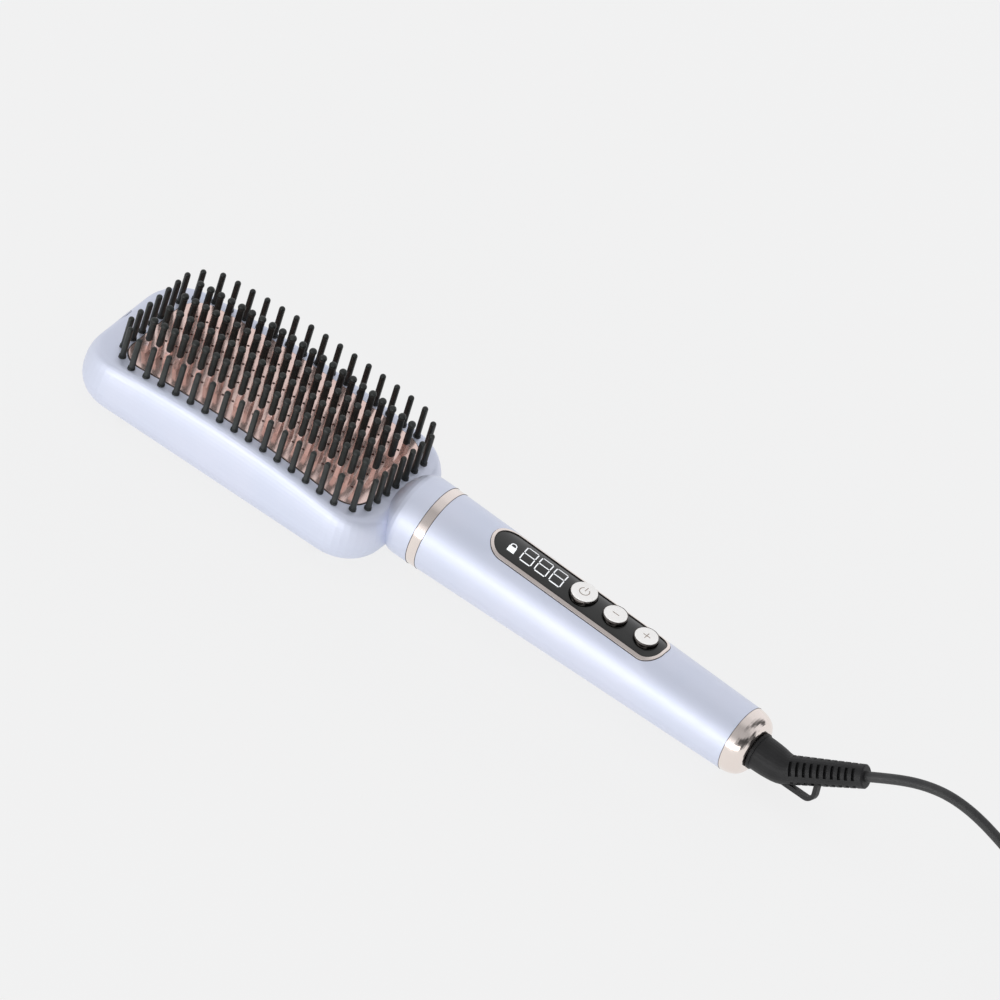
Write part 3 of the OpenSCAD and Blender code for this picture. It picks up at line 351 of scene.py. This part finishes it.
# ---- Coil tie ----
# A soft black hook-and-loop strap holds the coil together on the side away from the plug. It is a
# rounded hoop, drawn out to its width and given its thickness.
strap_black = finish(
    "strap_black", [(0.016, 0.016, 0.018), (0.028, 0.028, 0.031)], 0.85,
    patches=700, grains=1400, depth=0.00012, stretch=(1, 3, 1), more={"Sheen Weight": 0.3},
)
tie_w, tie_t, tie_sides = 8.0, 0.9, 64
tie_half_l, tie_half_h, tie_squareness = 8.9, 9.3, 9
bm = bmesh.new()
for vert in bmesh.ops.create_circle(bm, radius=1, segments=tie_sides)["verts"]:
    angle = math.atan2(vert.co.y, vert.co.x)
    across, up = box_round(angle, tie_half_l, tie_half_h, tie_squareness)
    vert.co = MM * from_relief(
        coil_centre[0] + coil_d / 2 + across, coil_centre[1] - tie_w / 2, tie_half_h + up
    )
wide = bmesh.ops.extrude_edge_only(bm, edges=bm.edges[:])
far_side = [v for v in wide["geom"] if isinstance(v, bmesh.types.BMVert)]
bmesh.ops.translate(bm, verts=far_side, vec=left_of_relief * tie_w * MM)
bmesh.ops.recalc_face_normals(bm, faces=bm.faces)
bmesh.ops.solidify(bm, geom=bm.faces[:], thickness=tie_t * MM)
coil_tie = piece("coil_tie", bm, strap_black, "cord")


# ---- Mains plug ----
# A flat two-pin plug moulded on to the cord in the same black rubber, with a ribbed neck and round
# nickel pins. Its body is one skin drawn through a row of outlines.
def dress(names, material):
    """Gives CAD nodes their material."""
    for name in names:
        mesh = nodes[name].data
        mesh.materials.clear()
        mesh.materials.append(material)
        for face in mesh.polygons:
            face.material_index = 0


nickel = finish(
    "nickel", [(0.72, 0.72, 0.70)], (0.16, 0.3), 1.0,
    grains=900, depth=0.000004, stretch=(1, 1, 6),
)
dress(["plug_body"], cord_rubber)
dress(["plug_pins"], nickel)
# Each outline's distance from the cord's end, half its width, half its height and its squareness.
plug_stations = [(0, 3.1, 3.1, 2)]
for k in range(5):
    start, rib_r = 1.7 * k, 3.2 + 0.32 * k
    neck_r = rib_r - 0.5
    plug_stations += [
        (0.4 + start, rib_r, rib_r, 2), (1.3 + start, rib_r, rib_r, 2),
        (1.4 + start, neck_r, neck_r, 2), (2.0 + start, neck_r, neck_r, 2),
    ]
plug_stations += [
    (9.4, 5.0, 5.0, 2), (10.6, 6.2, 5.7, 2.3), (13, 9.4, 6.4, 3), (16, 11.9, 6.7, 3.6),
    (20, 13.2, 6.75, 4), (27, 13.4, 6.75, 4.4), (33.6, 13.45, 6.75, 4.6), (35.2, 13.1, 6.4, 4.6),
    (35.8, 12.4, 5.8, 4.4), (36, 11.6, 5.1, 4.2),
]
plug_start = tail[-1]
bm = bmesh.new()
ring = bmesh.ops.create_circle(bm, radius=1, segments=48)["verts"]
plug_angles = [math.atan2(v.co.y, v.co.x) for v in ring]


def set_station(verts, station):
    along, half_w, half_h, power = station
    for vert, angle in zip(verts, plug_angles):
        side, up = box_round(angle, half_w, half_h, power)
        place = plug_start - left_of_relief * along + along_relief * side
        vert.co = (place + Vector((0, 0, up))) * MM


set_station(ring, plug_stations[0])
bm.faces.new(ring)
for station in plug_stations[1:]:
    edges = [bm.edges.get((u, v)) for u, v in zip(ring, ring[1:] + ring[:1])]
    made = bmesh.ops.extrude_edge_only(bm, edges=edges)["geom"]
    fresh = {v for v in made if isinstance(v, bmesh.types.BMVert)}
    ring = [
        next(e.other_vert(vert) for e in vert.link_edges if e.other_vert(vert) in fresh)
        for vert in ring
    ]
    set_station(ring, station)
bm.faces.new(ring)
mains_plug = piece("mains_plug", bm, cord_rubber, "cord", 35)
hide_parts("plug_body")


# ---- Shells ----
# The head's two shells and the handle tube are injection moulded and sprayed a pearl lilac, under a
# thin clear coat. The back cover is held by four screws.
pearl = finish(
    "pearl_lilac", [(0.69, 0.73, 0.855), (0.715, 0.745, 0.865)], (0.48, 0.52), 0.6,
    patches=42, grains=5200, depth=0.000001, more={"Coat Weight": 0.25, "Coat Roughness": 0.12},
)
dress(["head_front_shell", "head_back_cover", "handle_shell"], pearl)
dress(["cover_screws"], nickel)

# ---- Heating plate ----
# An aluminium casting, plated rose gold: an arched plate with four rows of blade studs and small
# steam vents between them. A thin black seal fills the gap to the shell.
rose = finish(
    "rose_gold_plating", [(0.90, 0.66, 0.60), (0.93, 0.71, 0.65)], (0.15, 0.2), 0.8,
    patches=90, grains=1500, depth=0.0000002,
)
dress(["heating_plate"], rose)
seal_black = finish("seal_black", [(0.02, 0.018, 0.018)], (0.55, 0.7), grains=2000, depth=0.00001)
dress(["plate_gasket"], seal_black)

# ---- Bristles ----
# Heat-proof tips in near-black nylon stand on the studs. A ring of longer guard bristles in the
# same nylon keeps the plate off the scalp; each row is moulded on a strip under the deck.
nylon = finish(
    "black_nylon", [(0.013, 0.015, 0.014), (0.022, 0.025, 0.023)], (0.36, 0.5),
    patches=300, grains=3000, depth=0.000012,
)
dress(["bristle_tips_row_%d" % row for row in (1, 2, 3, 4)], nylon)
dress(["guard_strip_" + end for end in ("near", "far", "tip", "neck")], nylon)

# ---- Inner parts ----
# What the closed head and handle hold: tray, heaters, sensors, tank, pump and tubes, and the
# electronics on their trough. None of it shows in use.
cast_metal = finish("cast_metal", [(0.5, 0.5, 0.5)], (0.42, 0.6), 0.9, grains=700, depth=0.00004)
ceramic = finish("ceramic", [(0.68, 0.62, 0.48), (0.76, 0.70, 0.56)], 0.7, patches=120)
brass = finish("brass", [(0.68, 0.46, 0.2)], (0.24, 0.4), 0.9, grains=800, depth=0.00001)
clear_plastic = finish(
    "clear_plastic", [(0.70, 0.80, 0.86), (0.76, 0.85, 0.90)], 0.15, patches=60,
)
dark_plastic = finish(
    "dark_plastic", [(0.05, 0.052, 0.06)], (0.44, 0.58), grains=1800, depth=0.00002,
)
silicone = finish("silicone", [(0.82, 0.82, 0.78)], (0.35, 0.5), grains=900, depth=0.00001)
board_green = finish("board_green", [(0.025, 0.13, 0.055), (0.035, 0.18, 0.08)], 0.35, patches=400)
reflector_white = finish(
    "reflector_white", [(0.82, 0.82, 0.8)], (0.45, 0.6), grains=900, depth=0.00001,
)
ring_red = finish("ring_red", [(0.45, 0.06, 0.04)], (0.45, 0.6), grains=1500, depth=0.00001)
dress(["steam_tray"], cast_metal)
dress(["ptc_heaters", "thermal_fuse"], ceramic)
dress(["thermistor"], brass)
dress(["water_tank"], clear_plastic)
dress(["feed_tubes"], silicone)
dress(["micro_pump", "handle_chassis", "tact_switches", "swivel_core"], dark_plastic)
dress(["control_board"], board_green)
dress(["display_module"], reflector_white)
dress(["swivel_retainer"], nickel)
dress(["filler_oring"], ring_red)

# ---- Filler plug ----
# A soft grey plug in the tip of the head, pulled out to fill the tank.
plug_grey = finish("plug_grey", [(0.50, 0.53, 0.63)], (0.4, 0.52), grains=1500, depth=0.00001)
dress(["filler_plug"], plug_grey)

# ---- Champagne trim ----
# The neck band, panel bezel and end cap are plated a bright champagne, and the button discs are
# painted in a satin one.
champagne = finish(
    "champagne_plating", [(0.87, 0.78, 0.73), (0.91, 0.82, 0.77)], (0.12, 0.2), 1.0,
    patches=60, grains=1200, depth=0.000003,
)
dress(["neck_band", "panel_bezel", "end_cap"], champagne)
champagne_satin = finish(
    "champagne_satin", [(0.96, 0.94, 0.91), (0.98, 0.96, 0.93)], (0.3, 0.4),
    patches=200, grains=3000, depth=0.000003,
)

# ---- Strain relief ----
# The bent sleeve, its slotted tail and the hanging loop are one soft moulding in matte black.
soft_black = finish(
    "soft_black_rubber", [(0.008, 0.008, 0.0085), (0.013, 0.013, 0.0135)], (0.46, 0.58),
    patches=160, grains=2600, depth=0.00002, more={"Specular IOR Level": 0.35},
)
dress(["strain_relief"], soft_black)

# ---- Control panel ----
# A glossy black lens over the display, with three buttons in black chrome housings. The small
# buttons' housings have a collar, and each disc stands a little proud, with a soft dome.
lens_black = finish(
    "lens_black", [(0.018, 0.018, 0.017), (0.024, 0.024, 0.023)], 0.16, patches=60,
)
dress(["display_lens"], lens_black)
black_chrome = finish(
    "black_chrome", [(0.10, 0.09, 0.085)], (0.1, 0.2), 1.0, grains=1500, depth=0.000002,
)
dress(["power_button", "minus_button", "plus_button"], black_chrome)
# The handle is a cone that starts at the neck and sinks on to its end cap. The neck's end is 77.7 mm
# from the middle of the bristles, which lies 102.83149 mm behind the frame's origin.
neck_end = Vector((77.7 - 102.83149, 0, 17.5))
tilt = math.radians(1.5265)
band_w, handle_l = 4.1, 146.4
handle_r, cap_r = 16.7, 13.6


def handle_radius(x):
    return handle_r + (cap_r - handle_r) * (x - band_w) / (handle_l - band_w)


def on_handle(x, y, up):
    """A point given along the handle's axis from the neck, across it and above it, in metres."""
    return MM * Vector((
        neck_end.x + x * math.cos(tilt) + up * math.sin(tilt),
        y,
        neck_end.z - x * math.sin(tilt) + up * math.cos(tilt),
    ))


def on_panel(x, y, lift):
    """A point on the handle's cone, given along its axis and across."""
    return on_handle(x, y, math.sqrt((handle_radius(x) + lift) ** 2 - y * y))


def turned(name, x, profile, material, body, steps=80):
    """A round piece turned about a line square to the panel, from a closed profile."""
    bm = bmesh.new()
    ring = [bm.verts.new((radius, 0, up)) for radius, up in profile]
    sides = [bm.edges.new(pair) for pair in zip(ring, ring[1:] + ring[:1])]
    bmesh.ops.spin(
        bm, geom=ring + sides, cent=(0, 0, 0), axis=(0, 0, 1), angle=math.tau, steps=steps,
        use_merge=True,
    )
    bmesh.ops.remove_doubles(bm, verts=bm.verts, dist=0.0001)
    for vert in bm.verts:
        vert.co = on_handle(x + vert.co.x, vert.co.y, handle_radius(x) + vert.co.z)
    return piece(name, bm, material, body)


# Each button's place along the handle and its disc's radius.
button_places = {"power": (67.1, 5.22), "minus": (82.0, 4.62), "plus": (96.8, 4.62)}
collar_r = 5.08
for body, (x, disc_r) in button_places.items():
    if body != "power":
        collar = turned(body + "_collar", x, [
            (4.2, 0.78), (4.75, 0.78), (collar_r, 0.95), (collar_r, 1.3), (collar_r - 0.1, 1.42),
            (disc_r + 0.02, 1.45), (disc_r + 0.02, 1.25), (4.2, 1.25),
        ], black_chrome, body)
    disc = turned(body + "_disc", x, [
        (0, 1.1), (disc_r, 1.1), (disc_r, 1.42), (disc_r - 0.03, 1.5), (disc_r - 0.12, 1.55),
        (disc_r - 0.9, 1.6), (disc_r * 0.5, 1.64), (0, 1.66),
    ], champagne_satin, body)
    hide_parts(body + "_button_face")


# ---- Button signs ----
# Thin lines in bronze lacquer on the discs: a broken ring and bar, a minus and a plus.
lacquer = finish(
    "bronze_lacquer", [(0.27, 0.22, 0.18), (0.34, 0.27, 0.23)], 0.4, patches=500,
)


def flat_signs(name, outlines, place, low, high, material, body):
    """Thin raised shapes: each outline is a list of points along and across the handle."""
    bm = bmesh.new()
    for outline in outlines:
        face = bm.faces.new([bm.verts.new((x, y, low)) for x, y in outline])
        made = bmesh.ops.extrude_face_region(bm, geom=[face])
        tops = [v for v in made["geom"] if isinstance(v, bmesh.types.BMVert)]
        bmesh.ops.translate(bm, verts=tops, vec=(0, 0, high - low))
    # Cut every half millimetre, so that the shapes bend with the round surface under them.
    for k in range(-9, 10):
        bmesh.ops.bisect_plane(
            bm, geom=bm.verts[:] + bm.edges[:] + bm.faces[:], plane_co=(0, k * 0.5, 0),
            plane_no=(0, 1, 0),
        )
    for vert in bm.verts:
        vert.co = place(*vert.co)
    return piece(name, bm, material, body)


def arc(x, y, r, w, first, last, steps):
    """Short four-sided stretches of a ring."""
    angles = [math.radians(first + (last - first) * k / steps) for k in range(steps + 1)]
    return [
        [(x + q * math.cos(t), y + q * math.sin(t)) for q, t in (
            (r - w / 2, a), (r + w / 2, a), (r + w / 2, b), (r - w / 2, b),
        )]
        for a, b in zip(angles, angles[1:])
    ]


def plain_bar(x0, y0, x1, y1):
    return [(x0, y0), (x1, y0), (x1, y1), (x0, y1)]


def on_disc(x, y, up):
    """A point on the disc that lies nearest, and on its dome."""
    dome_r, dome_drop = 4.0, 0.05
    centre = min((place for place, _ in button_places.values()), key=lambda place: abs(place - x))
    out = min(math.hypot(x - centre, y) / dome_r, 1)
    return on_handle(x, y, handle_radius(centre) + up - dome_drop * out)


power_x, minus_x, plus_x = (place for place, _ in button_places.values())
sign_w = 0.34
half = sign_w / 2
for body, outlines in {
    "power": arc(power_x, -0.1, 2.0, sign_w, 125, 415, 22)
    + [plain_bar(power_x - half, 0.1, power_x + half, 2.5)],
    "minus": [plain_bar(minus_x - 1.5, -half, minus_x + 1.5, half)],
    "plus": [
        plain_bar(plus_x - 1.6, -half, plus_x - half, half),
        plain_bar(plus_x + half, -half, plus_x + 1.6, half),
        plain_bar(plus_x - half, -1.6, plus_x + half, 1.6),
    ],
}.items():
    flat_signs(body + "_sign", outlines, on_disc, 1.55, 1.70, lacquer, body)


# ---- Seam shadows ----
# Thin dark beads of painted shadow, laid along the joints where the gaps between parts fall in
# shade:
# round the panel, at both sides of the neck band and at the end cap. They are pressed in between the
# parts.
# A near-black material that paints the shadow in the gaps, not a dark seal.
painted_gap_shadow = finish(
    "painted_gap_shadow", [(0.04, 0.036, 0.04), (0.06, 0.054, 0.06)], 0.55, patches=300,
)
panel_x, panel_l, panel_half, panel_end_r = 24.6, 81.7, 8.65, 7.2
bead_r = 0.13


def bead(name, line):
    obj = tube(name, line, bead_r * MM, 2, painted_gap_shadow, closed=True)
    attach(obj, "brush")


near_end_x = panel_x + panel_half
far_x = panel_x + panel_l - panel_end_r
side_y = panel_half - panel_end_r
rim = [
    (near_end_x + panel_half * math.cos(t), panel_half * math.sin(t))
    for t in (math.radians(90 + 180 * k / 36) for k in range(37))
]
rim += [(near_end_x + (far_x - near_end_x) * k / 20, -panel_half) for k in range(1, 20)]
rim += [
    (far_x + panel_end_r * math.cos(t), -side_y + panel_end_r * math.sin(t))
    for t in (math.radians(-90 + 90 * k / 18) for k in range(19))
]
rim += [(x, -y) for x, y in rim[:36:-1]]
bead("panel_bead", [on_panel(x, y, 0.0) for x, y in rim])
ring_angles = [math.tau * k / 120 for k in range(120)]
for name, x, r in (
    ("band_bead_head", 0.0, 16.86), ("band_bead_handle", band_w, 16.70),
    ("cap_bead", handle_l, 13.58),
):
    bead(name, [on_handle(x, r * math.sin(t), r * math.cos(t)) for t in ring_angles])


# ---- Display signs ----
# The lit bars of the display, printed white under the lens: three seven-bar figures and a padlock.
lit = finish(
    "lit_bars", [(0.90, 0.91, 0.91), (0.95, 0.96, 0.96)], 0.4, patches=600,
    more={"Emission Color": (0.9, 0.95, 1.0, 1), "Emission Strength": 0.25},
)
digit_w, digit_low, digit_high, bar_w = 5.2, -4.0, 3.8, 0.46
first_digit_x, digit_pitch, digit_lean = 39.2, 7.0, 0.13


def bar(x0, y0, x1, y1, w):
    """A slim bar with pointed ends, a little short of the two points that it joins."""
    along = Vector((x1 - x0, y1 - y0))
    along.normalize()
    across = Vector((-along.y, along.x)) * w / 2
    a = Vector((x0, y0)) + along * w * 0.75
    b = Vector((x1, y1)) - along * w * 0.75
    return [(a - across)[:], (b - across)[:], (b + along * w * 0.2)[:], (b + across)[:],
            (a + across)[:], (a - along * w * 0.2)[:]]


def lean(x, y):
    return x - digit_lean * (y - digit_low), y


signs = []
for k in range(3):
    x0 = first_digit_x + digit_pitch * k
    x1 = x0 + digit_w
    middle = (digit_low + digit_high) / 2
    for ends in (
        (x0, digit_low, x1, digit_low), (x0, middle, x1, middle), (x0, digit_high, x1, digit_high),
        (x0, digit_low, x0, middle), (x0, middle, x0, digit_high),
        (x1, digit_low, x1, middle), (x1, middle, x1, digit_high),
    ):
        signs.append(bar(*lean(*ends[:2]), *lean(*ends[2:]), bar_w))
lock_x, lock_y, lock_w, lock_h = 34.6, -2.5, 3.3, 2.7
shackle_r, shackle_w, leg_in, leg_out, leg_h = 1.18, 0.45, 0.95, 1.4, 0.5
signs.append([
    lean(lock_x + sx * lock_w / 2, lock_y + sy * lock_h / 2)
    for sx, sy in ((-1, -1), (1, -1), (1, 1), (-1, 1))
])
lock_top = lock_y + lock_h / 2
shackle = arc(lock_x, lock_top + leg_h, shackle_r, shackle_w, 0, 180, 10)
signs += [[lean(x, y) for x, y in part] for part in shackle]
for side in (-1, 1):
    signs.append([
        lean(lock_x + side * x, lock_top + y)
        for x, y in ((leg_in, 0.0), (leg_out, 0.0), (leg_out, leg_h), (leg_in, leg_h))
    ][::side])
display_signs = flat_signs("display_signs", signs, on_panel, -0.15, -0.095, lit, "brush")
